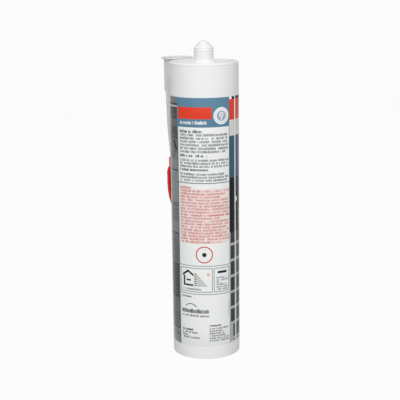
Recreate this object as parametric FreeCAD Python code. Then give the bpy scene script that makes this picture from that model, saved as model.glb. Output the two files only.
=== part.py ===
import FreeCAD, Part
import math
import os

# A full cartridge of joint sealant, standing on its open end, with its nozzle stuck on beside it.
# Millimetres, +Z up. The origin is the centre of the cartridge's open bottom end, on the floor.
# The nozzle hangs upside down, behind the barrel and to its left, with its flange on the rim.

# Barrel
body_diameter = 50.0        # over the label
body_height = 216.7         # from the floor to the top of the rim
barrel_wall = 1.4
mouth_wall = 1.1            # the thinner wall at the open end, which lets the piston in
mouth_depth = 12.0
foot_round = 0.5

# Rim at the top of the barrel, with a slim groove under its bead
rim_width = 2.4
rim_bead_height = 2.0
rim_round = 0.7
groove_height = 0.7
groove_depth = 0.35

# Shoulder, which lies below the rim, and the hub that the neck stands on
shoulder_recess = 3.0
shoulder_thickness = 2.0
hub_diameter = 20.0
hub_side = 1.2              # its upright side, below the cone that leads up to the neck
hub_rise = 4.0

# Neck and its closed cone tip, which is cut off before use
neck_diameter = 14.0
neck_bore = 10.4
neck_height = 9.6           # from the rim's top to the foot of the cone
neck_lip_width = 0.2
neck_lip_height = 0.5
cone_height = 3.3
cone_top_diameter = 7.4
dome_height = 1.8
tip_wall = 1.3

# Label
label_thickness = 0.1
label_bottom = 9.7
label_height = 183.2

# Piston, a cup that is open downwards, with a sealing lip at each end
piston_set_back = 13.0      # from the floor to the piston's lower edge
piston_height = 19.0
piston_wall = 1.3
piston_head = 1.8
piston_lip_height = 2.4
piston_waist = 0.5          # how far its wall stands back from its lips
piston_running_gap = 0.05
sealant_left_over = 0.5     # what stays under the shoulder when the piston is fully home

# Nozzle: a flange, a socket with grip ribs, a long neck and a cone
nozzle_bearing = 124.3      # degrees, anticlockwise from +X, seen from above
nozzle_length = 118.0
nozzle_wall = 1.5
nozzle_side_gap = 0.15      # between its ribs and the label
flange_thickness = 0.9
flange_overlap = 2.0        # how far the flange reaches in over the rim
socket_clearance = 0.25     # to the cartridge's neck, all round
socket_depth = 28.0
nozzle_neck_length = 23.0
nozzle_neck_taper = 0.6     # what the radius loses over the nozzle's neck
nozzle_tip_diameter = 6.2
rib_count = 16
rib_height = 1.1
rib_width = 1.5
rib_length = 25.5
rib_run_out = 2.7           # the slope at a rib's lower end

# Cap on the nozzle's tip, with a leaf-shaped wing to pull it by
cap_cover = 42.5            # how much of the nozzle's tip it covers
cap_wall = 0.95
cap_gap = 0.1
cap_end_thickness = 1.4
cap_pull_clear = 2.5        # how far past the tip it is drawn
wing_drop = 6.0             # from the cap's upper edge to the wing's
wing_top_width = 16.0
wing_shoulder = 6.5         # height over which the wing spreads to its full width
wing_width = 19.4
wing_straight = 6.5         # height over which it keeps that width
wing_side_radius = 48.0
wing_tip_width = 5.0
wing_thickness = 3.0
wing_rim = 2.3
wing_web = 1.2
wing_pocket_rise = 6.0      # how far its pockets' round tops rise between the straight edges

# Glue bead that holds the nozzle to the barrel
bead_top_drop = 9.5         # below the lower ends of the nozzle's ribs
bead_height = 24.0
bead_width = 5.0

# Sizes that follow from the ones above
body_radius = body_diameter / 2
barrel_radius = body_radius - label_thickness
bore_radius = barrel_radius - barrel_wall
mouth_radius = barrel_radius - mouth_wall
shoulder_top = body_height - shoulder_recess
shoulder_underside = shoulder_top - shoulder_thickness
hub_radius = hub_diameter / 2
hub_top = shoulder_top + hub_rise
neck_radius = neck_diameter / 2
neck_bore_radius = neck_bore / 2
neck_top = body_height + neck_height
cone_top_radius = cone_top_diameter / 2
cone_top = neck_top + cone_height
tip_top = cone_top + dome_height
cavity_top = tip_top - tip_wall
cavity_cone_radius = cone_top_radius - tip_wall / 2
cavity_cone_top = cone_top - tip_wall / 2
cavity_neck_top = neck_top - tip_wall / 2
piston_top = piston_set_back + piston_height
piston_radius = bore_radius - piston_running_gap
piston_travel = shoulder_underside - piston_top - sealant_left_over

socket_radius = neck_radius + socket_clearance
socket_outside = socket_radius + nozzle_wall
nozzle_distance = body_radius + nozzle_side_gap + rib_height + socket_outside
nozzle_x = nozzle_distance * math.cos(math.radians(nozzle_bearing))
nozzle_y = nozzle_distance * math.sin(math.radians(nozzle_bearing))
flange_radius = nozzle_distance - body_radius + flange_overlap
flange_top = body_height + flange_thickness
socket_bottom = flange_top - socket_depth
cone_start = socket_bottom - nozzle_neck_length
cone_start_radius = socket_outside - nozzle_neck_taper
nozzle_tip = flange_top - nozzle_length
nozzle_tip_radius = nozzle_tip_diameter / 2
nozzle_slope = (cone_start_radius - nozzle_tip_radius) / (cone_start - nozzle_tip)
cap_top = nozzle_tip + cap_cover
cap_travel = cap_cover + cap_pull_clear


def point(radius, height):
    """A point of a turned piece's section, in the XZ plane."""
    return FreeCAD.Vector(radius, 0, height)


def outline(start, *legs):
    """A closed outline. A leg is the next point, or an arc's middle and end points."""
    edges = []
    here = start
    for leg in legs:
        if isinstance(leg, tuple):
            middle, end = leg
            edges.append(Part.Arc(here, middle, end).toShape())
        else:
            end = leg
            edges.append(Part.LineSegment(here, end).toShape())
        here = end
    if here != start:
        edges.append(Part.LineSegment(here, start).toShape())
    return Part.Face(Part.Wire(edges))


def turned(start, *legs):
    """A solid of revolution about the Z axis."""
    axis_point = FreeCAD.Vector(0, 0, 0)
    return outline(start, *legs).revolve(axis_point, FreeCAD.Vector(0, 0, 1), 360)


def round_corner(radius, height, size, outwards, upwards):
    """The middle of a quarter circle that rounds the corner at this radius and height."""
    inset = size * (1 - math.sqrt(0.5))
    return point(radius - outwards * inset, height - upwards * inset)


def beside_barrel(shape):
    """Takes a piece of the nozzle from the Z axis to its place. Its +X faces away from the barrel."""
    shape.rotate(FreeCAD.Vector(0, 0, 0), FreeCAD.Vector(0, 0, 1), nozzle_bearing)
    shape.translate(FreeCAD.Vector(nozzle_x, nozzle_y, 0))
    return shape


def nozzle_radius(height):
    """The nozzle's outside radius on its cone."""
    return nozzle_tip_radius + nozzle_slope * (height - nozzle_tip)


def make_cartridge():
    """The barrel, its rim and shoulder, and the neck with its closed tip: one moulding."""
    rim_inside = barrel_radius - rim_width
    bead_bottom = body_height - rim_bead_height
    groove_bottom = bead_bottom - groove_height
    groove_radius = barrel_radius - groove_depth
    lip_radius = neck_radius + neck_lip_width
    lip_bottom = neck_top - neck_lip_height
    dome_radius = (cone_top_radius ** 2 + dome_height ** 2) / (2 * dome_height)
    dome_lean = math.asin(cone_top_radius / dome_radius) / 2
    dome_middle_drop = dome_radius * (1 - math.cos(dome_lean))
    dome_middle = point(dome_radius * math.sin(dome_lean), tip_top - dome_middle_drop)
    return turned(
        point(mouth_radius, 0),
        point(barrel_radius - foot_round, 0),
        (round_corner(barrel_radius, 0, foot_round, 1, -1), point(barrel_radius, foot_round)),
        point(barrel_radius, groove_bottom),
        (point(groove_radius, groove_bottom + groove_height / 2), point(barrel_radius, bead_bottom)),
        point(barrel_radius, body_height - rim_round),
        (
            round_corner(barrel_radius, body_height, rim_round, 1, 1),
            point(barrel_radius - rim_round, body_height),
        ),
        point(rim_inside + rim_round, body_height),
        (
            round_corner(rim_inside, body_height, rim_round, -1, 1),
            point(rim_inside, body_height - rim_round),
        ),
        point(rim_inside, shoulder_top),
        point(hub_radius, shoulder_top),
        point(hub_radius, shoulder_top + hub_side),
        point(neck_radius, hub_top),
        point(neck_radius, lip_bottom),
        point(lip_radius, lip_bottom),
        point(lip_radius, neck_top),
        point(neck_radius, neck_top),
        point(cone_top_radius, cone_top),
        (dome_middle, point(0, tip_top)),
        point(0, cavity_top),
        point(cavity_cone_radius, cavity_cone_top),
        point(neck_bore_radius, cavity_neck_top),
        point(neck_bore_radius, shoulder_underside),
        point(bore_radius, shoulder_underside),
        point(bore_radius, mouth_depth),
        point(mouth_radius, mouth_depth),
    )


def make_sealant():
    """The paste from the piston's head to the shoulder and up into the neck."""
    return turned(
        point(0, piston_top),
        point(bore_radius, piston_top),
        point(bore_radius, shoulder_underside),
        point(neck_bore_radius, shoulder_underside),
        point(neck_bore_radius, cavity_neck_top),
        point(cavity_cone_radius, cavity_cone_top),
        point(0, cavity_top),
    )


def make_piston():
    """A cup, open downwards, whose wall stands back from the bore between its two lips."""
    waist_radius = piston_radius - piston_waist
    inside_radius = waist_radius - piston_wall
    return turned(
        point(inside_radius, piston_set_back),
        point(piston_radius, piston_set_back),
        point(piston_radius, piston_set_back + piston_lip_height),
        point(waist_radius, piston_set_back + piston_lip_height + piston_waist),
        point(waist_radius, piston_top - piston_lip_height - piston_waist),
        point(piston_radius, piston_top - piston_lip_height),
        point(piston_radius, piston_top),
        point(0, piston_top),
        point(0, piston_top - piston_head),
        point(inside_radius, piston_top - piston_head),
    )


def make_label():
    """The film wrapped round the barrel."""
    return turned(
        point(barrel_radius, label_bottom),
        point(body_radius, label_bottom),
        point(body_radius, label_bottom + label_height),
        point(barrel_radius, label_bottom + label_height),
    )


def make_nozzle():
    """Turned body with a flange at its mouth, and ribs round its socket."""
    shape = turned(
        point(socket_radius, flange_top),
        point(socket_radius, socket_bottom),
        point(cone_start_radius - nozzle_wall, cone_start),
        point(nozzle_tip_radius - nozzle_wall, nozzle_tip),
        point(nozzle_tip_radius, nozzle_tip),
        point(cone_start_radius, cone_start),
        point(socket_outside, socket_bottom),
        point(socket_outside, body_height),
        point(flange_radius, body_height),
        point(flange_radius, flange_top),
    )
    foot = socket_outside - nozzle_wall / 2
    crest = socket_outside + rib_height
    rib_bottom = body_height - rib_length
    side_view = outline(
        point(foot, body_height),
        point(foot, rib_bottom),
        point(socket_outside, rib_bottom),
        point(crest, rib_bottom + rib_run_out),
        point(crest, body_height),
    )
    rib = side_view.extrude(FreeCAD.Vector(0, rib_width, 0))
    rib.translate(FreeCAD.Vector(0, -rib_width / 2, 0))
    ribs = []
    for number in range(rib_count):
        copy = rib.copy()
        turn = 360 * (number + 0.5) / rib_count
        copy.rotate(FreeCAD.Vector(0, 0, 0), FreeCAD.Vector(0, 0, 1), turn)
        ribs.append(copy)
    return beside_barrel(shape.fuse(ribs).removeSplitter())


def wing_outline(inset, pocket):
    """The wing's leaf shape, or that of the pocket inside its rim, as a face in the YZ plane."""
    side = wing_width / 2 - inset
    arc_top = cap_top - wing_drop - wing_shoulder - wing_straight
    arc_radius = wing_side_radius - inset
    arc_centre = side - arc_radius
    tip_side = wing_tip_width / 2
    tip = arc_top - math.sqrt(arc_radius ** 2 - (tip_side - arc_centre) ** 2)
    middle = (arc_top + tip) / 2
    middle_side = arc_centre + math.sqrt(arc_radius ** 2 - (arc_top - middle) ** 2)

    def at(across, height):
        return FreeCAD.Vector(0, across, height)

    blade = [
        at(side, arc_top),
        (at(middle_side, middle), at(tip_side, tip)),
        (at(0, tip - tip_side / 2), at(-tip_side, tip)),
        (at(-middle_side, middle), at(-side, arc_top)),
    ]
    if pocket:
        crown = at(0, arc_top + wing_pocket_rise)
        return outline(*blade, (crown, at(side, arc_top)))
    top = cap_top - wing_drop
    top_side = wing_top_width / 2
    shoulder_bottom = top - wing_shoulder
    bend_side = top_side + (side - top_side) * math.sqrt(0.5)
    bend_height = shoulder_bottom + wing_shoulder * math.sqrt(0.5)
    return outline(
        at(top_side, top),
        (at(bend_side, bend_height), at(side, shoulder_bottom)),
        *blade,
        at(-side, shoulder_bottom),
        (at(-bend_side, bend_height), at(-top_side, top)),
    )


def make_nozzle_cap():
    """A closed sleeve over the nozzle's tip, with a leaf-shaped wing that has a rim and a web."""
    inner_top = nozzle_radius(cap_top) + cap_gap
    inner_end = nozzle_tip_radius + cap_gap
    seat = nozzle_tip - cap_gap
    end = seat - cap_end_thickness
    collar = inner_top + cap_wall
    wing_top = cap_top - wing_drop
    sleeve = turned(
        point(0, end),
        point(inner_end + cap_wall / 2, end),
        point(inner_end + cap_wall, seat),
        point(nozzle_radius(wing_top) + cap_gap + cap_wall, wing_top),
        point(collar, wing_top),
        point(collar, cap_top),
        point(0, cap_top),
    )
    wing = wing_outline(0, False).extrude(FreeCAD.Vector(wing_thickness, 0, 0))
    wing.translate(FreeCAD.Vector(-wing_thickness / 2, 0, 0))
    pocket_face = wing_outline(wing_rim, True)
    pockets = []
    for side in (1, -1):
        pocket = pocket_face.extrude(FreeCAD.Vector(side * wing_thickness, 0, 0))
        pocket.translate(FreeCAD.Vector(side * wing_web / 2, 0, 0))
        pockets.append(pocket)
    hollow = turned(
        point(0, seat),
        point(inner_end, seat),
        point(inner_top, cap_top),
        point(0, cap_top),
    )
    body = wing.cut(pockets).fuse(sleeve).cut(hollow)
    return beside_barrel(body.removeSplitter())


def make_glue_bead():
    """Fills the gap between the nozzle and the label, or the bare barrel above the label."""
    top = body_height - rib_length - bead_top_drop
    bottom = top - bead_height
    reach = nozzle_distance - barrel_radius
    corner = FreeCAD.Vector(-reach, -bead_width / 2, bottom)
    block = Part.makeBox(reach, bead_width, bead_height, corner)
    filled_nozzle = turned(
        point(0, nozzle_tip),
        point(nozzle_tip_radius, nozzle_tip),
        point(cone_start_radius, cone_start),
        point(socket_outside, socket_bottom),
        point(socket_outside, flange_top),
        point(0, flange_top),
    )
    bead = beside_barrel(block.cut(filled_nozzle))
    barrel = Part.makeCylinder(barrel_radius, body_height)
    return bead.cut([barrel, make_label()])


pieces = {
    "cartridge": make_cartridge,
    "sealant": make_sealant,
    "piston": make_piston,
    "label": make_label,
    "nozzle": make_nozzle,
    "nozzle_cap": make_nozzle_cap,
    "glue_bead": make_glue_bead,
}

os.makedirs("parts", exist_ok=True)
for name, make in pieces.items():
    shape = make()
    box = shape.BoundBox
    print(
        name, shape.ShapeType, "solids", len(shape.Solids), "valid", shape.isValid(),
        "volume %.1f" % shape.Volume, "z %.2f to %.2f" % (box.ZMin, box.ZMax),
        "x %.2f to %.2f" % (box.XMin, box.XMax), "y %.2f to %.2f" % (box.YMin, box.YMax),
    )
    shape.exportStep("parts/" + name + ".step")
print("piston travel %.2f, cap travel %.2f" % (piston_travel, cap_travel))
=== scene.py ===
import math

import bpy
from mathutils import Matrix, Vector


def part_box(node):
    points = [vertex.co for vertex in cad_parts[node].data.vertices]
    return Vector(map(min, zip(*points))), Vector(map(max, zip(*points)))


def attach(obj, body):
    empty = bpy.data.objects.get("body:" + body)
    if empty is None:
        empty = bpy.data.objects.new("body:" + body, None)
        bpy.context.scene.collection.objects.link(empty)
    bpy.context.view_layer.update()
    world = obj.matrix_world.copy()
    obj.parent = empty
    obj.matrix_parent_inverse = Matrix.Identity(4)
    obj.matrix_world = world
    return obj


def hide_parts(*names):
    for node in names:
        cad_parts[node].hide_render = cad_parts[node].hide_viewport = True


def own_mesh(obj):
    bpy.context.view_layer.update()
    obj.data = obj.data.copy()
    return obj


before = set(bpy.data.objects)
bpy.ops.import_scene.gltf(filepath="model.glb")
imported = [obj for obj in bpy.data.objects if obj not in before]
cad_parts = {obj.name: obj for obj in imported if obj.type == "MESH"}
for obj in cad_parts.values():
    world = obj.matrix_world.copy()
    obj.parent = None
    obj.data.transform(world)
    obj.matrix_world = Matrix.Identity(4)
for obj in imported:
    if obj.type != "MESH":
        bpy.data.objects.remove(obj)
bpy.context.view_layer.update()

# Cartridge
# The white barrel, its rim, the sunken shoulder, the threaded neck and its closed tip are one
# injection moulding in polyethylene. It stands on its open end.

MM = 0.001
SAME_RADIUS = 0.001
WHITE_PLASTIC = (0.86, 0.865, 0.85)
WHITE_SHADE = (0.83, 0.84, 0.825)

cartridge_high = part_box("cartridge")[1]
label_low, label_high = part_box("label")
nozzle_low, nozzle_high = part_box("nozzle")

barrel_radius = cartridge_high.x / MM
tip_top = cartridge_high.z / MM
flange_thickness = 0.9
flange_top = nozzle_high.z / MM
rim_top = flange_top - flange_thickness

barrel_wall = 1.4
mouth_wall = 1.1
mouth_depth = 12.0
foot_round = 0.5
rim_width = 2.4
rim_round = 0.95
rim_bead = 2.0
groove_height = 0.8
groove_depth = 0.5
groove_squareness = 0.7
groove_steps = 8
chamfer = 0.15
shoulder_recess = 3.0
shoulder_thickness = 2.0
shoulder_round = 0.5
hub_radius = 10.0
hub_side = 1.2
hub_rise = 4.0
neck_radius = 7.0
neck_bore = 5.2
neck_height = 9.6
neck_lip = 0.12
neck_lip_height = 0.5
cone_height = 3.3
cone_top_radius = 3.7
tip_wall = 1.3
thread_pitch = 2.1
thread_height = 0.32
thread_turns = 2.4
thread_half_width = 0.3
thread_flatness = 1.6
thread_start_run = 0.25
thread_end_run = 1.2


def arc(centre_radius, centre_height, size, start, end, steps=6):
    """The points of a round stretch of a section, from one angle to another, in degrees."""
    points = []
    for step in range(steps + 1):
        angle = math.radians(start + (end - start) * step / steps)
        points.append((centre_radius + size * math.cos(angle), centre_height + size * math.sin(angle)))
    return points


def stretch(start, end, steps):
    """The points of a straight stretch of a section, without its first one."""
    points = []
    for step in range(1, steps + 1):
        share = step / steps
        points.append((start[0] + (end[0] - start[0]) * share, start[1] + (end[1] - start[1]) * share))
    return points


def even_angles(count):
    return [2 * math.pi * number / count for number in range(count)]


def turned(name, section, angles, radius_at=None, centre=(0.0, 0.0), hollow_ring=False):
    """A turned piece: its section's (radius, height) points in mm, taken round the upright axis."""
    vertices = []
    rings = []
    for radius, height in section:
        if radius == 0.0:
            rings.append([len(vertices)])
            vertices.append((centre[0] * MM, centre[1] * MM, height * MM))
            continue
        ring = []
        for angle in angles:
            out = radius_at(radius, height, angle) if radius_at else radius
            ring.append(len(vertices))
            vertices.append((
                (centre[0] + out * math.cos(angle)) * MM,
                (centre[1] + out * math.sin(angle)) * MM,
                height * MM,
            ))
        rings.append(ring)
    pairs = list(zip(rings, rings[1:]))
    if hollow_ring:
        pairs.append((rings[-1], rings[0]))
    faces = []
    for lower, upper in pairs:
        for number in range(len(angles)):
            after = (number + 1) % len(angles)
            corners = [
                lower[number % len(lower)], lower[after % len(lower)],
                upper[after % len(upper)], upper[number % len(upper)],
            ]
            faces.append(tuple(dict.fromkeys(corners)))
    return mesh_piece(name, vertices, faces)


def mesh_piece(name, vertices, faces, sharp_angle=32.0):
    """A new piece with smooth faces and sharp edges where it turns by more than sharp_angle."""
    mesh = bpy.data.meshes.new(name)
    mesh.from_pydata(vertices, [], [face for face in faces if len(face) > 2])
    mesh.validate()
    mesh.shade_smooth()
    mesh.set_sharp_from_angle(angle=math.radians(sharp_angle))
    piece = bpy.data.objects.new(name, mesh)
    bpy.context.scene.collection.objects.link(piece)
    return piece


class Wire:
    """A socket of a material's nodes. Sums on it add Math nodes."""

    def __init__(self, tree, socket=None):
        self.tree = tree
        self.socket = socket

    def node(self, kind, settings=None, inputs=None, output=0):
        """Adds a node of this type, with its settings and the values or links of its sockets."""
        made = self.tree.nodes.new("ShaderNode" + kind)
        for name, value in (settings or {}).items():
            if name == "stops":
                for number, (place, colour) in enumerate(value):
                    elements = made.color_ramp.elements
                    stop = elements[number] if number < 2 else elements.new(place)
                    stop.position = place
                    stop.color = colour
                made.color_ramp.interpolation = "CONSTANT"
            else:
                setattr(made, name, value)
        for name, value in (inputs or {}).items():
            if isinstance(value, Wire):
                self.tree.links.new(value.socket, made.inputs[name])
            else:
                made.inputs[name].default_value = value
        return Wire(self.tree, made.outputs[output] if made.outputs else None)

    def output(self, number):
        """Another output of the same node."""
        return Wire(self.tree, self.socket.node.outputs[number])

    def maths(self, operation, *values):
        return self.node("Math", {"operation": operation}, dict(enumerate(values)))

    def __add__(self, other):
        return self.maths("ADD", self, other)

    def __radd__(self, other):
        return self.maths("ADD", other, self)

    def __sub__(self, other):
        return self.maths("SUBTRACT", self, other)

    def __rsub__(self, other):
        return self.maths("SUBTRACT", other, self)

    def __mul__(self, other):
        return self.maths("MULTIPLY", self, other)

    def __rmul__(self, other):
        return self.maths("MULTIPLY", other, self)

    def __truediv__(self, other):
        return self.maths("DIVIDE", self, other)

    def __gt__(self, other):
        return self.maths("GREATER_THAN", self, other)

    def __lt__(self, other):
        return self.maths("LESS_THAN", self, other)


def new_material(name):
    made = bpy.data.materials.new(name)
    made.use_nodes = True
    made.node_tree.nodes.clear()
    return made, Wire(made.node_tree)


def noise(wire, place, scale, detail=2.0, rough=0.5):
    """Noise of this many grains a metre, from 0 to 1."""
    inputs = {"Vector": place, "Scale": scale, "Detail": detail, "Roughness": rough}
    return wire.node("TexNoise", None, inputs)


def blend_colours(wire, share, first, second):
    inputs = {0: share, 6: first, 7: second}
    return wire.node("Mix", {"data_type": "RGBA"}, inputs, 2)


def opaque(colour):
    return (*colour, 1.0)


def moulded_plastic(name, colour, shade, roughness, soft, bump_height):
    """Moulded plastic: a faint cloudiness, drawn-out flow marks and a fine skin."""
    made, wire = new_material(name)
    place = wire.node("TexCoord", None, None, 3)
    drawn = wire.node("Mapping", None, {"Vector": place, "Scale": (1.0, 1.0, 0.12)})
    cloud = noise(wire, place, 60.0, 3.0)
    flow = noise(wire, drawn, 420.0, 2.0)
    skin = noise(wire, place, 2600.0, 1.0)
    share = cloud * 0.7 + flow * 0.3
    base = blend_colours(wire, share, opaque(colour), opaque(shade))
    rough = (flow - 0.5) * 0.12 + roughness
    bump = wire.node("Bump", None, {"Strength": 1.0, "Distance": bump_height, "Height": skin * 0.4 + flow})
    shader = wire.node("BsdfPrincipled", None, {
        "Base Color": base,
        "Roughness": rough,
        "IOR": 1.52,
        "Subsurface Weight": soft,
        "Subsurface Radius": (0.0025, 0.0022, 0.0018),
        "Subsurface Scale": 1.0,
        "Specular IOR Level": 0.12,
        "Normal": bump,
    })
    wire.node("OutputMaterial", None, {"Surface": shader})
    return made


def thread_on_neck(radius, height, angle):
    """Adds the neck's thread, a right-handed ridge that runs out at both ends."""
    if abs(radius - neck_radius) > SAME_RADIUS:
        return radius
    top = rim_top + neck_height - neck_lip_height
    turn = (top - height) / thread_pitch
    phase = (turn + angle / (2 * math.pi)) % 1.0
    ridge = max(0.0, 1.0 - abs(phase - 0.5) / thread_half_width)
    ridge = min(1.0, thread_flatness * ridge)
    start_fade = max(0.0, turn / thread_start_run)
    end_fade = max(0.0, (thread_turns - turn) / thread_end_run)
    return radius + thread_height * ridge * min(1.0, start_fade, end_fade)


def cartridge_section():
    mouth = barrel_radius - mouth_wall
    bore = barrel_radius - barrel_wall
    bead_bottom = rim_top - rim_bead
    groove_bottom = bead_bottom - groove_height
    rim_inside = barrel_radius - rim_width
    shoulder_top = rim_top - shoulder_recess
    hub_top = shoulder_top + hub_rise
    neck_top = rim_top + neck_height
    cone_top = neck_top + cone_height
    dome_height = tip_top - cone_top
    dome_radius = (cone_top_radius ** 2 + dome_height ** 2) / (2 * dome_height)
    dome_lean = math.degrees(math.asin(cone_top_radius / dome_radius))
    lip_radius = neck_radius + neck_lip
    section = [(mouth, 0.0)]
    section += arc(barrel_radius - foot_round, foot_round, foot_round, -90, 0)
    section += stretch(section[-1], (barrel_radius, groove_bottom - chamfer), 24)
    for step in range(1, groove_steps + 1):
        share = step / groove_steps
        dip = math.sin(math.pi * share) ** groove_squareness
        section.append((barrel_radius - groove_depth * dip, groove_bottom + groove_height * share))
    section += arc(barrel_radius - rim_round, rim_top - rim_round, rim_round, 0, 90)
    section += arc(rim_inside + rim_round, rim_top - rim_round, rim_round, 90, 180)
    foot_of_rim = (rim_inside - shoulder_round, shoulder_top + shoulder_round)
    section += arc(*foot_of_rim, shoulder_round, 0, -90, 4)
    section += stretch(section[-1], (hub_radius + shoulder_round, shoulder_top), 8)
    section += [(hub_radius + 0.12, shoulder_top + 0.12), (hub_radius, shoulder_top + shoulder_round)]
    section += [(hub_radius, shoulder_top + hub_side - 0.2)]
    section += stretch(section[-1], (neck_radius + 0.2, hub_top - chamfer), 5)
    section += [(neck_radius, hub_top + chamfer)]
    lip_bottom = neck_top - neck_lip_height
    section += stretch(section[-1], (neck_radius, lip_bottom - 0.1), 60)
    section += [(lip_radius, lip_bottom), (lip_radius, neck_top - chamfer)]
    section += [(lip_radius - chamfer, neck_top)]
    section += stretch(section[-1], (cone_top_radius + chamfer, cone_top - 0.14), 6)
    section += arc(0.0, tip_top - dome_radius, dome_radius, 90 - dome_lean, 90, 8)
    section[-1] = (0.0, tip_top)
    section += [
        (0.0, tip_top - tip_wall),
        (cone_top_radius - tip_wall / 2, cone_top - tip_wall / 2),
        (neck_bore, neck_top - tip_wall / 2),
        (neck_bore, shoulder_top - shoulder_thickness),
        (bore, shoulder_top - shoulder_thickness),
        (bore, mouth_depth),
        (mouth, mouth_depth),
    ]
    return section


cartridge = turned(
    "barrel_moulding", cartridge_section(), even_angles(192), thread_on_neck, hollow_ring=True,
)
cartridge.data.materials.append(
    moulded_plastic("white_polyethylene", WHITE_PLASTIC, WHITE_SHADE, 0.55, 0.12, 0.000004)
)
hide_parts("cartridge")
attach(cartridge, "cartridge")

# Label
# A printed film, wrapped once round the barrel and overlapped at the back, under a clear varnish.
# The print is fields of colour, lines and rows of small marks where the real one has its text, with a
# painted highlight line down its right side.

label_radius = label_high.x / MM
label_bottom = label_low.z / MM
label_top = label_high.z / MM
label_overlap = 4.0
label_lift = 0.06
around = 2 * math.pi * label_radius


def srgb(red, green, blue):
    """A colour given in display values from 0 to 255, as the light values that nodes take."""
    def light(value):
        value = value / 255
        return value / 12.92 if value < 0.04045 else ((value + 0.055) / 1.055) ** 2.4
    return (light(red), light(green), light(blue), 1.0)


PAPER = srgb(238, 240, 238)
PINK_PAPER = srgb(240, 208, 200)
STEEL_BLUE = srgb(90, 130, 154)
DEEP_BLUE = srgb(52, 90, 112)
RED_FIELD = srgb(222, 62, 38)
PALE_BAND = srgb(219, 220, 216)
BLACK_FIELD = srgb(2, 2, 2)
TILE = srgb(42, 48, 50)
TILE_LIGHT = srgb(76, 84, 86)
PRINT_GRAIN = srgb(128, 132, 136)
JOINT = srgb(180, 185, 186)
DARK_INK = srgb(38, 42, 50)
RED_INK = srgb(202, 84, 80)
SIGN_RED = srgb(206, 40, 34)
SIGN_ORANGE = srgb(232, 158, 112)
RULE_BLUE = srgb(88, 112, 128)
BORDER_BLUE = srgb(96, 112, 126)
WHITE_INK = srgb(240, 242, 244)

border_left = -22.4
back_left = -21.4
back_right = 19.4
panel_top = 172.1
left_panel_end = -60.0
red_bottom = 176.3
red_top = 191.0
pale_bottom = 164.8
blue_bottom = 134.5
black_bottom = 94.3
tiles_bottom = 11.2
tile_pitch = 12.0
tile_joint = 2.0
tile_shift_across = 0.48
tile_shift_up = 0.31
worn_height = 13.0
worn_width = 3.4
# Where the painted highlight line runs, and where its painted bulge sits and how large it is.
highlight_left = 25.3
highlight_right = 26.8
highlight_kink_level = 118.0
highlight_kink_size = 2.7
badge_across = 12.4
badge_level = 180.0
badge_marks_count = 18
letter_width = 0.8
red_print_bottom = 87.0
red_print_top = 130.5


def seam_step(radius, height, angle):
    """Lifts the film where its end laps over its start, at the back."""
    behind = (angle - math.pi / 2) * label_radius
    lifted = radius > barrel_radius + 0.01 and -label_overlap < behind < 0.01
    return radius + (label_lift if lifted else 0.0)


def label_angles():
    angles = even_angles(240)
    seam = math.pi / 2
    return sorted(set(angles + [seam + 0.002, seam - label_overlap / label_radius - 0.002]))


label_section = [(barrel_radius, label_bottom)]
label_section += [(label_radius - 0.02, label_bottom), (label_radius, label_bottom + 0.04)]
label_section += stretch(label_section[-1], (label_radius, label_top - 0.04), 12)
label_section += [(label_radius - 0.02, label_top), (barrel_radius, label_top)]
label = turned("printed_label", label_section, label_angles(), seam_step, hollow_ring=True)

film, ink = new_material("printed_film")
spot = ink.node("TexCoord", None, None, 3)
apart = ink.node("SeparateXYZ", None, {0: spot})
height = apart.output(2) * (1.0 / MM)
along = ink.maths("ARCTAN2", apart, 0.0 - apart.output(1)) * label_radius
across = along + (along < left_panel_end) * around
colour = None


def either(*masks):
    """The highest of several values."""
    joined = masks[0]
    for mask in masks[1:]:
        joined = joined.maths("MAXIMUM", joined, mask)
    return joined


def band(value, low, high):
    """1 between low and high, and 0 elsewhere."""
    return value.maths("COMPARE", value, (low + high) / 2, (high - low) / 2)


def patch(left, right, low, high):
    return band(across, left, right) * band(height, low, high)


def box_line(left, right, low, high, width):
    """A thin line round a rectangle."""
    beside = ink.maths("ABSOLUTE", across - (left + right) / 2) - (right - left) / 2
    over = ink.maths("ABSOLUTE", height - (low + high) / 2) - (high - low) / 2
    return band(ink.maths("MAXIMUM", beside, over), -width, 0.0)


def distance(centre, level):
    """How far a point of the film is from this one, in mm."""
    beside = across - centre
    over = height - level
    return ink.maths("SQRT", beside * beside + over * over)


def under(share, first):
    """Lays a colour over the film's colour so far, where share is 1."""
    global colour
    colour = blend_colours(ink, share, colour, first)


# The fields of colour: the text panel, the grey panel to its left, the header and the front panel.
# Each of the grey panel's tones has the height that it starts at.
panel_tones = (
    (0.0, 134), (21.5, 110), (44.5, 76), (69.0, 110), (93.0, 128), (102.0, 122), (114.0, 136),
    (140.5, 134), (148.7, 126), (154.5, 108), (164.3, 88), (171.3, 108), (176.7, 82), (186.0, 120),
)
tones_height = 200.0
stops = [(level / tones_height, srgb(tone - 4, tone + 2, tone + 3)) for level, tone in panel_tones]
grey_panel = ink.node("ValToRGB", {"stops": stops}, {0: height / tones_height})
colour = blend_colours(ink, across > back_left, grey_panel, PAPER)
under(band(across, border_left, back_left), BORDER_BLUE)
under(band(across, border_left, back_right) * (height > panel_top), STEEL_BLUE)
tile_across = (across - back_right + tile_pitch * tile_shift_across) / tile_pitch
tile_up = (black_bottom - height + tile_pitch * tile_shift_up) / tile_pitch
tile_joints = either(
    ink.maths("FRACT", tile_across) < tile_joint / tile_pitch,
    ink.maths("FRACT", tile_up) < tile_joint / tile_pitch,
)
tile_cell = {0: ink.maths("FLOOR", tile_across), 1: ink.maths("FLOOR", tile_up), 2: 0.0}
tile_tone = ink.node("TexWhiteNoise", None, {"Vector": ink.node("CombineXYZ", None, tile_cell)})
front = blend_colours(ink, tile_tone * 0.35, TILE, TILE_LIGHT)
front = blend_colours(ink, tile_joints, front, JOINT)
worn = (height < tiles_bottom + worn_height) * (across < back_right + worn_width) * 0.95
front = blend_colours(ink, either(worn, across < back_right + 0.7), front, JOINT)
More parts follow.
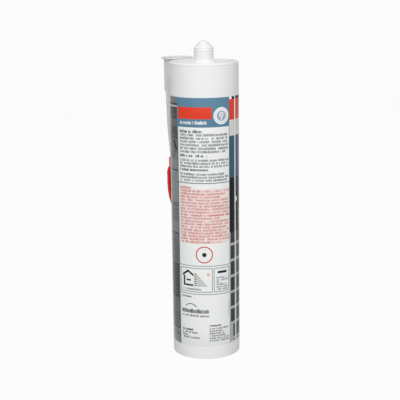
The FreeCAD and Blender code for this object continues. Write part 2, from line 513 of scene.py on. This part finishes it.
for level, field in (
    (black_bottom, BLACK_FIELD), (blue_bottom, DEEP_BLUE), (pale_bottom, PALE_BAND),
    (red_bottom, RED_FIELD), (red_top, BLACK_FIELD),
):
    front = blend_colours(ink, height > level, front, field)
front = blend_colours(ink, (height > red_top) * (across < back_right + 2.6), front, WHITE_INK)
front = blend_colours(ink, height < tiles_bottom, front, PALE_BAND)
under(across > back_right, front)

# A painted highlight, not print: a thin upright white line where a strip of light is mirrored in the film,
# with a small painted bulge beside it where that highlight kinks.
highlight_kink = (across - highlight_right) + ink.maths("ABSOLUTE", height - highlight_kink_level)
under((across > highlight_left) * either(across < highlight_right, highlight_kink < highlight_kink_size), WHITE_INK)

# The header's bare red field, its round badge and a ring beside the row of white marks.
under(patch(back_left, 5.1, 178.0, 186.3), RED_FIELD)
badge = distance(badge_across, badge_level)
badge_turn = ink.maths("ARCTAN2", across - badge_across, height - badge_level)
badge_turn = badge_turn * (badge_marks_count / (2 * math.pi))
badge_marks = band(badge, 4.6, 5.3) * (ink.maths("FRACT", badge_turn) < 0.5)
badge_figure = either(
    band(distance(badge_across, badge_level + 0.9), 0.9, 1.7),
    patch(badge_across - 0.4, badge_across + 0.4, 176.9, 180.2),
)
badge_inks = either(badge_marks * 0.6, (badge < 3.7) * (1.0 - badge_figure) * 0.7)
under((badge < 6.1) * (1.0 - badge_inks), WHITE_INK)
under(band(distance(-18.2, 175.1), 0.5, 1.1), WHITE_INK)

# The pink cast of the paper under the dense red print.
under(patch(back_left + 0.8, back_right - 0.8, 87.6, 128.2) * 0.45, PINK_PAPER)

# Rows of small marks, as long as words, where the label has print: no letters.
# Each block of rows has its left and right, its top, its number of rows and their pitch.
bold_blocks = (
    (-16.4, -8.6, 176.6, 1, 3.0),
    (-7.6, 1.4, 176.6, 1, 3.0),
    (-19.8, -2.2, 170.2, 1, 2.7),
    (-19.8, 1.6, 152.7, 1, 2.3),
    (-19.8, 2.3, 142.7, 1, 2.3),
    (-19.8, -10.6, 129.6, 1, 2.3),
    (-19.8, 18.6, 109.6, 1, 2.2),
    (-19.6, -10.8, 48.2, 1, 1.6),
    (-19.4, -9.0, 23.1, 1, 2.0),
    (2.1, 11.0, 26.5, 1, 1.9),
    (-19.6, 2.0, 38.2, 1, 3.9),
    (45.0, 82.0, 128.0, 2, 7.0),
)
plain_blocks = (
    (-19.7, 18.2, 167.7, 6, 2.4),
    (-19.7, 18.2, 149.5, 3, 2.2),
    (-19.7, 18.2, 139.4, 3, 2.15),
    (-19.7, 18.6, 127.3, 8, 2.2),
    (-19.7, 18.6, 107.4, 9, 2.2),
    (-19.6, 3.0, 34.0, 1, 2.1),
    (-19.4, -5.0, 20.9, 3, 1.95),
    (2.1, 18.0, 24.2, 6, 1.85),
    (-18.4, 3.9, 54.2, 1, 1.9),
    (7.6, 17.0, 62.8, 6, 1.75),
    (-58.0, -22.4, 185.6, 4, 2.3),
    (-58.0, -22.4, 171.3, 3, 2.2),
    (-58.0, -22.4, 154.4, 3, 2.0),
    (-58.0, -22.4, 112.0, 3, 2.5),
    (-58.0, -22.4, 91.5, 8, 2.5),
    (-58.0, -22.4, 68.0, 8, 2.6),
    (-58.0, -22.4, 43.5, 8, 2.5),
    (34.0, 82.0, 110.0, 4, 3.0),
)
layout = (0.0, 1.0, 0.0)
printed = None
for number, (left, right, top, rows, pitch) in enumerate(bold_blocks + plain_blocks, 1):
    here = patch(left, right, top - rows * pitch, top)
    layout = ink.node("Mix", {"data_type": "VECTOR"}, {0: here, 4: layout, 5: (top, pitch, right)}, 1)
    printed = here if printed is None else printed + here
    if number == len(bold_blocks):
        bold = printed
layout = ink.node("SeparateXYZ", None, {0: layout})
row_place = (layout - height) / layout.output(1)
row = ink.maths("FLOOR", row_place)
row_share = ink.maths("FRACT", row_place)
letter = across * (1.0 - bold * 0.2) / letter_width
letter_cell = {0: ink.maths("FLOOR", letter), 1: row, 2: layout}
chance = ink.node("TexWhiteNoise", None, {"Vector": ink.node("CombineXYZ", None, letter_cell)}, 1)
chance = ink.node("SeparateColor", None, {0: chance})
row_cell = ink.node("CombineXYZ", None, {0: row, 1: layout, 2: 7.0})
row_chance = ink.node("TexWhiteNoise", None, {"Vector": row_cell})
row_end = layout.output(2) - ink.maths("POWER", row_chance, 5.0) * 12.0 * (1.0 - bold)
stroke = (ink.maths("FRACT", letter) < 0.85) * (chance > 0.12)
tall = band(row_share, 0.16, 0.80) + (chance.output(2) > 0.72) * (row_share < 0.16)
marks = stroke * tall * (across < row_end) * (chance.output(1) * 0.4 + 0.6)
marks = marks * ink.maths("MINIMUM", printed, 1.0) * (bold * 0.2 + 0.8)
marks = marks * (1.0 - (across < back_left) * (height < 113.0) * 0.5)
red_print = band(height, red_print_bottom, red_print_top) * (across > border_left)
letters = blend_colours(ink, red_print, DARK_INK, RED_INK)
light_print = either(across > back_right, height > panel_top) * (across > border_left)
under(marks, blend_colours(ink, light_print, letters, WHITE_INK))

# Thin blue rules and framed boxes.
under(either(
    patch(back_left, back_right, 131.7, 132.4),
    patch(back_left, back_right, 70.7, 71.2),
    patch(back_left, back_right, 49.4, 49.9),
    patch(back_right - 0.5, back_right, black_bottom, panel_top),
    patch(back_right - 0.5, back_right, 0.0, black_bottom) * 0.8,
    patch(back_right - 2.0, back_right - 1.2, 31.7, 43.2) * 0.5,
    box_line(-20.4, 4.8, 51.2, 69.4, 0.5),
    box_line(5.6, 18.2, 51.2, 69.4, 0.5),
) * 0.9, RULE_BLUE)

# Plain shapes where the real label has its signs: a ring with a dot, a house-like box, bars.
ring = distance(-1.2, 79.5)
under(band(ring, 5.5, 6.3), SIGN_RED)
under((distance(1.6, 64.6) < 1.3) * 0.7, SIGN_ORANGE)
bar_place = (65.4 - height) / 1.45
bar = ink.maths("FLOOR", bar_place)
bars = (across > -8.6) * (across < bar * 1.2 - 6.6)
bars = either(bars * 0.6, band(across, -8.8, -7.5)) * (ink.maths("FRACT", bar_place) < 0.55)
bars = bars * band(bar, -0.5, 6.5)
roof = height + ink.maths("ABSOLUTE", across + 13.8) * 0.7
under(either(
    ring < 1.6,
    band(roof, 66.1, 67.9) * band(across, -18.6, -9.4),
    patch(-17.8, -16.4, 56.2, 63.4),
    patch(-17.8, -9.6, 55.7, 57.0),
    patch(-15.2, -11.6, 59.6, 60.8),
    patch(8.6, 16.0, 65.2, 67.0),
    band(distance(-11.8, 36.6), 5.2, 5.8) * (height > 40.0),
    bars,
), DARK_INK)

# The grey panel's black rules, each with its bottom, top and strength, and a slanted bar.
rules = (
    (187.2, 188.4, 1.0), (174.6, 175.1, 0.7), (172.5, 173.0, 0.7), (163.3, 164.3, 1.0),
    (148.5, 148.9, 0.5), (139.6, 140.5, 1.0), (115.5, 116.2, 1.0), (113.9, 114.6, 1.0),
    (103.6, 104.2, 0.6), (93.0, 93.8, 1.0), (69.6, 70.4, 1.0), (45.3, 46.1, 1.0), (21.1, 21.9, 1.0),
)
left_rules = either(
    *[band(height, low, high) * share for low, high, share in rules],
    band(height, 16.5, 17.1) * (across > -27.4),
    band(across + (height - 158.0) * 0.5, -26.6, -23.6) * band(height, 155.0, 162.0),
)
left_panel = band(across, left_panel_end + 2.0, border_left + 0.2)
under(left_rules * left_panel, DARK_INK)
under(band(height, 185.8, 186.5) * left_panel, PALE_BAND)

# The front panel's plain disc in a ring.
disc = distance(58.2, 151.0)
under(either(band(disc, 10.6, 11.4), disc < 8.8), WHITE_INK)

# Grain of the print, the varnish over it and the film's slight waviness.
grain = noise(ink, spot, 3500.0, 2.0)
wave = noise(ink, spot, 90.0, 2.0)
under((grain - 0.4) * 0.10, PRINT_GRAIN)
film_bump = ink.node("Bump", None, {"Strength": 1.0, "Distance": 0.000007, "Height": wave + grain * 0.06})
film_shader = ink.node("BsdfPrincipled", None, {
    "Base Color": colour,
    "Roughness": (wave - 0.5) * 0.06 + 0.13,
    "IOR": 1.5,
    "Specular IOR Level": 0.12,
    "Normal": film_bump,
})
ink.node("OutputMaterial", None, {"Surface": film_shader})
label.data.materials.append(film)
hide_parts("label")
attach(label, "cartridge")

# Nozzle
# A translucent polyethylene moulding that hangs wide end up, its flange on the cartridge's rim.
# Grip ribs run down the socket, which is threaded inside to fit the neck.

NATURAL_PLASTIC = srgb(228, 230, 228)
NATURAL_LIGHT = srgb(238, 239, 237)

nozzle_centre = (
    (nozzle_low.x + nozzle_high.x) / 2 / MM,
    (nozzle_low.y + nozzle_high.y) / 2 / MM,
)
flange_radius = (nozzle_high.x - nozzle_low.x) / 2 / MM
nozzle_tip = nozzle_low.z / MM
nozzle_wall = 1.5
socket_radius = 7.25
socket_outside = socket_radius + nozzle_wall
socket_bottom = flange_top - 28.0
socket_thread_height = 0.2
socket_thread_top = 1.2
socket_thread_bottom = 19
nozzle_neck_length = 23.0
nozzle_neck_taper = 0.6
nozzle_tip_radius = 3.1
rib_count = 16
rib_height = 1.1
rib_half_angle = 0.75 / (socket_outside + rib_height / 2)
rib_bottom = rim_top - 25.5
rib_run_out = 2.7
nozzle_bearing = math.atan2(nozzle_centre[1], nozzle_centre[0])
cone_start = socket_bottom - nozzle_neck_length
cone_start_radius = socket_outside - nozzle_neck_taper


def rib_angles():
    """Angles that fall on the ribs' edges, with a few between them."""
    angles = []
    for number in range(rib_count):
        centre = nozzle_bearing + 2 * math.pi * (number + 0.5) / rib_count
        half_gap = math.pi / rib_count
        edge = rib_half_angle
        steps = [-half_gap, -(half_gap + edge) / 2, -edge * 1.35, -edge, -edge * 0.72, 0.0]
        steps += [edge * 0.72, edge, edge * 1.35, (half_gap + edge) / 2]
        angles += [(centre + step) % (2 * math.pi) for step in steps]
    return sorted(angles)


def ribs_and_thread(radius, height, angle):
    """Raises the grip ribs outside the socket, and the thread inside it."""
    if abs(radius - socket_outside) < SAME_RADIUS and height < rim_top - 0.05:
        turn = 2 * math.pi / rib_count
        off = (angle - nozzle_bearing) % turn - turn / 2
        rise = min(1.0, max(0.0, (rib_half_angle * 1.02 - abs(off)) / (rib_half_angle * 0.3)))
        run = min(1.0, max(0.0, (height - rib_bottom) / rib_run_out))
        return radius + rib_height * rise * run
    in_socket = abs(radius - socket_radius) < SAME_RADIUS
    if in_socket and socket_thread_top < flange_top - height < socket_thread_bottom:
        phase = ((flange_top - height) / thread_pitch + angle / (2 * math.pi)) % 1.0
        ridge = max(0.0, 1.0 - abs(phase - 0.5) / thread_half_width)
        return radius - socket_thread_height * ridge
    crest = socket_outside + rib_height
    if radius > crest and height < rim_top - 0.01:
        away = min(1.0, max(0.0, math.cos(angle - nozzle_bearing) * 2 + 0.8))
        return crest + (radius - crest) * away
    return radius


def nozzle_section():
    inner_cone = cone_start_radius - nozzle_wall
    section = [(nozzle_tip_radius - nozzle_wall, nozzle_tip), (nozzle_tip_radius - 0.2, nozzle_tip)]
    section += [(nozzle_tip_radius, nozzle_tip + 0.2)]
    section += stretch(section[-1], (cone_start_radius, cone_start), 30)
    section += stretch(section[-1], (socket_outside - 0.02, socket_bottom), 8)
    section += [(socket_outside, socket_bottom + 0.3)]
    section += stretch(section[-1], (socket_outside, rib_bottom), 2)
    section += stretch(section[-1], (socket_outside, rib_bottom + rib_run_out), 6)
    section += stretch(section[-1], (socket_outside, rim_top - 1.2), 8)
    crest = socket_outside + rib_height
    section += [(crest + 0.02, rim_top - 0.9), (crest + 0.3, rim_top - 0.4), (crest + 0.8, rim_top - 0.12)]
    section += [(crest + 1.3, rim_top)]
    section += [(flange_radius - 0.25, rim_top)]
    section += arc(flange_radius - 0.3, rim_top + 0.3, 0.3, -60, 0, 4)
    section += arc(flange_radius - 0.35, flange_top - 0.35, 0.35, 0, 90, 5)
    section += [(socket_radius + 1.1, flange_top), (socket_radius + 0.35, flange_top - 0.12)]
    section += [(socket_radius, flange_top - 0.6)]
    section += stretch(section[-1], (socket_radius, flange_top - 20), 60)
    section += [(socket_radius, socket_bottom), (inner_cone, cone_start)]
    return section


def translucent_plastic():
    """Natural polyethylene: milky, letting some light through, with a satin skin."""
    made, wire = new_material("natural_polyethylene")
    place = wire.node("TexCoord", None, None, 3)
    drawn = wire.node("Mapping", None, {"Vector": place, "Scale": (1.0, 1.0, 0.15)})
    cloud = noise(wire, place, 110.0, 3.0)
    flow = noise(wire, drawn, 700.0, 2.0)
    base = blend_colours(wire, cloud, NATURAL_PLASTIC, NATURAL_LIGHT)
    bump = wire.node("Bump", None, {"Strength": 1.0, "Distance": 0.00001, "Height": flow})
    shader = wire.node("BsdfPrincipled", None, {
        "Base Color": base,
        "Roughness": (flow - 0.5) * 0.1 + 0.42,
        "IOR": 1.5,
        "Specular IOR Level": 0.2,
        "Transmission Weight": 0.12,
        "Subsurface Weight": 0.6,
        "Subsurface Radius": (0.002, 0.002, 0.002),
        "Subsurface Scale": 1.0,
        "Normal": bump,
    })
    wire.node("OutputMaterial", None, {"Surface": shader})
    return made


nozzle = turned("spare_nozzle", nozzle_section(), rib_angles(), ribs_and_thread, nozzle_centre, True)
nozzle.data.materials.append(translucent_plastic())
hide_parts("nozzle")
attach(nozzle, "cartridge")

# Nozzle cap
# A red polyethylene cap pushed over the nozzle's tip. Its flat leaf-shaped wing has a raised rim
# round a thin web, and is what the user pulls it off by.

RED_PLASTIC = (0.86, 0.026, 0.016)
RED_SHADE = (0.72, 0.019, 0.013)
cap_grain = 0.0003


def softened(name, node, grain, rounds, lumps=0.0):
    """A copy of a moulded or poured piece with its edges rounded, and lumps if it set unevenly."""
    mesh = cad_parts[node].data.copy()
    piece = bpy.data.objects.new(name, mesh)
    bpy.context.scene.collection.objects.link(piece)
    rounding = piece.modifiers.new("rounding", "REMESH")
    rounding.mode = "VOXEL"
    rounding.voxel_size = grain
    rounding.use_smooth_shade = True
    if lumps:
        texture = bpy.data.textures.new(name + "_lumps", "CLOUDS")
        texture.noise_scale = 0.006
        uneven = piece.modifiers.new("uneven", "DISPLACE")
        uneven.texture = texture
        uneven.strength = lumps
        uneven.texture_coords = "LOCAL"
    smoothing = piece.modifiers.new("smoothing", "SMOOTH")
    smoothing.factor = 0.5
    smoothing.iterations = rounds
    piece.data = finished_mesh(piece)
    piece.data.materials.clear()
    piece.modifiers.clear()
    return piece


def finished_mesh(piece):
    """The mesh that a piece's modifiers make."""
    graph = bpy.context.evaluated_depsgraph_get()
    graph.update()
    return bpy.data.meshes.new_from_object(piece.evaluated_get(graph))


cap = softened("red_cap", "nozzle_cap", cap_grain, 5)
cap.data.materials.append(
    moulded_plastic("red_polyethylene", RED_PLASTIC, RED_SHADE, 0.28, 0.0, 0.000006)
)
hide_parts("nozzle_cap")
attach(cap, "nozzle_cap")

# Glue bead
# Hot-melt glue between nozzle and barrel, which holds the nozzle there. It sets milky and uneven,
# with a rounded skin.

GLUE = (0.72, 0.70, 0.60)
GLUE_SHADE = (0.62, 0.59, 0.47)
glue_grain = 0.00035
glue_lumps = 0.0006

glue = softened("glue_strip", "glue_bead", glue_grain, 14, glue_lumps)
glue.data.materials.append(moulded_plastic("hot_melt", GLUE, GLUE_SHADE, 0.22, 0.3, 0.00003))
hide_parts("glue_bead")
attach(glue, "cartridge")

# Piston
# A polyethylene cup, open downwards, with a sealing lip at each edge. It closes the barrel's open
# end, and the gun's rod pushes it up.

PISTON_PLASTIC = (0.80, 0.80, 0.77)
PISTON_SHADE = (0.75, 0.75, 0.72)

piston_low, piston_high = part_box("piston")
piston_bottom = piston_low.z / MM
piston_top = piston_high.z / MM
piston_radius = piston_high.x / MM
piston_wall = 1.3
piston_head = 1.8
piston_lip = 2.4
piston_waist = 0.5
piston_edge = 0.25
piston_head_round = 1.0


def piston_section():
    waist = piston_radius - piston_waist
    inside = waist - piston_wall
    low_slope = piston_bottom + piston_lip
    high_slope = piston_top - piston_lip
    section = [(inside + 0.2, piston_bottom), (piston_radius - piston_edge, piston_bottom)]
    section += [(piston_radius, piston_bottom + piston_edge), (piston_radius, low_slope)]
    section += [(waist, low_slope + piston_waist)]
    section += stretch(section[-1], (waist, high_slope - piston_waist), 4)
    section += [(piston_radius, high_slope), (piston_radius, piston_top - piston_edge)]
    section += [(piston_radius - piston_edge, piston_top)]
    section += stretch(section[-1], (0.0, piston_top), 6)
    head_bottom = piston_top - piston_head
    section += stretch((0.0, head_bottom), (inside - 1.2, head_bottom), 5)
    head_corner = (inside - piston_head_round, head_bottom - piston_head_round)
    section += arc(*head_corner, piston_head_round, 90, 0, 4)
    section += [(inside, piston_bottom + 0.2)]
    return section


piston = turned("piston_cup", piston_section(), even_angles(128), hollow_ring=True)
piston.data.materials.append(
    moulded_plastic("piston_polyethylene", PISTON_PLASTIC, PISTON_SHADE, 0.34, 0.15, 0.00001)
)
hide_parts("piston")
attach(piston, "piston")

# Sealant
# The smooth paste that fills the barrel and the neck. It gives way upwards when the piston moves.

PASTE = (0.83, 0.83, 0.80)
PASTE_SHADE = (0.78, 0.78, 0.74)

paste_low, paste_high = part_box("sealant")
paste_bottom = paste_low.z / MM
paste_top = paste_high.z / MM
paste_radius = paste_high.x / MM
paste_shoulder = rim_top - shoulder_recess - shoulder_thickness
paste_edge = 0.1

paste_cone_bottom = rim_top + neck_height - tip_wall / 2
paste_cone_top = rim_top + neck_height + cone_height - tip_wall / 2
paste_section = [(0.0, paste_bottom), (paste_radius - paste_edge, paste_bottom)]
paste_section += [(paste_radius, paste_bottom + paste_edge)]
paste_section += stretch(paste_section[-1], (paste_radius, paste_shoulder - paste_edge), 12)
paste_section += [(paste_radius - paste_edge, paste_shoulder), (neck_bore + paste_edge, paste_shoulder)]
paste_section += [(neck_bore, paste_shoulder + paste_edge)]
paste_section += stretch(paste_section[-1], (neck_bore, paste_cone_bottom), 4)
paste_section += [(cone_top_radius - tip_wall / 2, paste_cone_top), (0.0, paste_top)]
paste = turned("sealant_fill", paste_section, even_angles(96))
paste.data.materials.append(
    moulded_plastic("sealant_paste", PASTE, PASTE_SHADE, 0.40, 0.2, 0.00004)
)
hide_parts("sealant")
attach(paste, "cartridge")
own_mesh(paste)

# Studio
# A pale sweep that the camera and mirrored rays see as white, a wide soft light in front and one
# above. Mirrored rays see the floor dimmer behind the tube on its right, which darkens that edge.

dim_start = (0.0218, -0.0123)
dim_half_width = math.radians(29.0)
dim_share = 0.3
FLOOR_GREY = (0.62, 0.62, 0.62, 1.0)
WHITE = (1.0, 1.0, 1.0, 1.0)
seen_share = 0.95
sky_strength = 0.34


def sweep():
    """A floor that curves up into a backdrop."""
    half_width, front, back, bend, top, steps = 3.0, -4.0, 1.9, 0.5, 2.4, 12
    line = [(front, 0.0), (back - bend, 0.0)]
    for step in range(1, steps + 1):
        angle = math.pi / 2 * step / steps
        line.append((back - bend + bend * math.sin(angle), bend - bend * math.cos(angle)))
    line.append((back, top))
    vertices = []
    for y, z in line:
        vertices += [(-half_width, y, z), (half_width, y, z)]
    faces = [(2 * n, 2 * n + 1, 2 * n + 3, 2 * n + 2) for n in range(len(line) - 1)]
    return mesh_piece("floor_sweep", vertices, faces)


def seen_white(wire):
    """1 where the camera, a mirroring or a clear surface sees the backdrop, and the mirrored share."""
    path = wire.node("LightPath", None, None, 0)
    mirrored = path.output(3)
    return either(path, mirrored, path.output(6)), mirrored


floor = sweep()
pale, surface = new_material("pale_floor")
seen, mirrored = seen_white(surface)
spread = surface.node("SeparateXYZ", None, {0: surface.node("TexCoord", None, None, 3)})
bearing = surface.maths("ARCTAN2", spread - dim_start[0], spread.output(1) - dim_start[1])
dim = surface.maths("COMPARE", bearing, dim_half_width, dim_half_width)
matt = surface.node("BsdfDiffuse", None, {"Color": FLOOR_GREY})
white = surface.node("Emission", None, {
    "Color": WHITE,
    "Strength": 1.0 - mirrored * dim * dim_share,
})
surface.node("OutputMaterial", None, {
    "Surface": surface.node("MixShader", None, {0: seen * seen_share, 1: matt, 2: white}),
})
floor.data.materials.append(pale)


def soft_light(name, place, aim, width, height, power):
    lamp = bpy.data.lights.new(name, "AREA")
    lamp.shape = "RECTANGLE"
    lamp.size = width
    lamp.size_y = height
    lamp.energy = power
    holder = bpy.data.objects.new(name, lamp)
    holder.location = place
    holder.rotation_euler = (Vector(aim) - Vector(place)).to_track_quat("-Z", "Y").to_euler()
    holder.visible_camera = False
    bpy.context.scene.collection.objects.link(holder)


soft_light("front_light", (0.0, -1.9, 1.0), (0.0, 0.0, 0.11), 3.8, 1.8, 26.6)
soft_light("top_light", (0.0, -0.62, 1.0), (0.0, 0.0, 0.2), 1.5, 0.6, 5.5)

world = bpy.data.worlds.new("studio")
bpy.context.scene.world = world
world.use_nodes = True
world.node_tree.nodes.clear()
sky = Wire(world.node_tree)
strength = seen_white(sky)[0] * (1.0 - sky_strength) + sky_strength
backdrop = sky.node("Background", None, {"Color": WHITE, "Strength": strength})
sky.node("OutputWorld", None, {"Surface": backdrop})

# Camera
# The photograph's place and angle: about 0.74 m away and 0.28 m up, looking down by 12 degrees.

camera_place = (-0.00385, -0.7372, 0.2752)
camera_pitch = 12.28
camera_roll = -0.65
camera_lens = 92.05
camera_sensor = 36.0

lens = bpy.data.cameras.new("photo_camera")
lens.lens = camera_lens
lens.sensor_width = camera_sensor
camera = bpy.data.objects.new("photo_camera", lens)
upright = Matrix.Rotation(math.radians(90 - camera_pitch), 4, "X")
roll = Matrix.Rotation(math.radians(camera_roll), 4, "Z")
camera.matrix_world = Matrix.Translation(camera_place) @ upright @ roll
bpy.context.scene.collection.objects.link(camera)
bpy.context.scene.camera = camera
bpy.context.scene.view_settings.view_transform = "Standard"
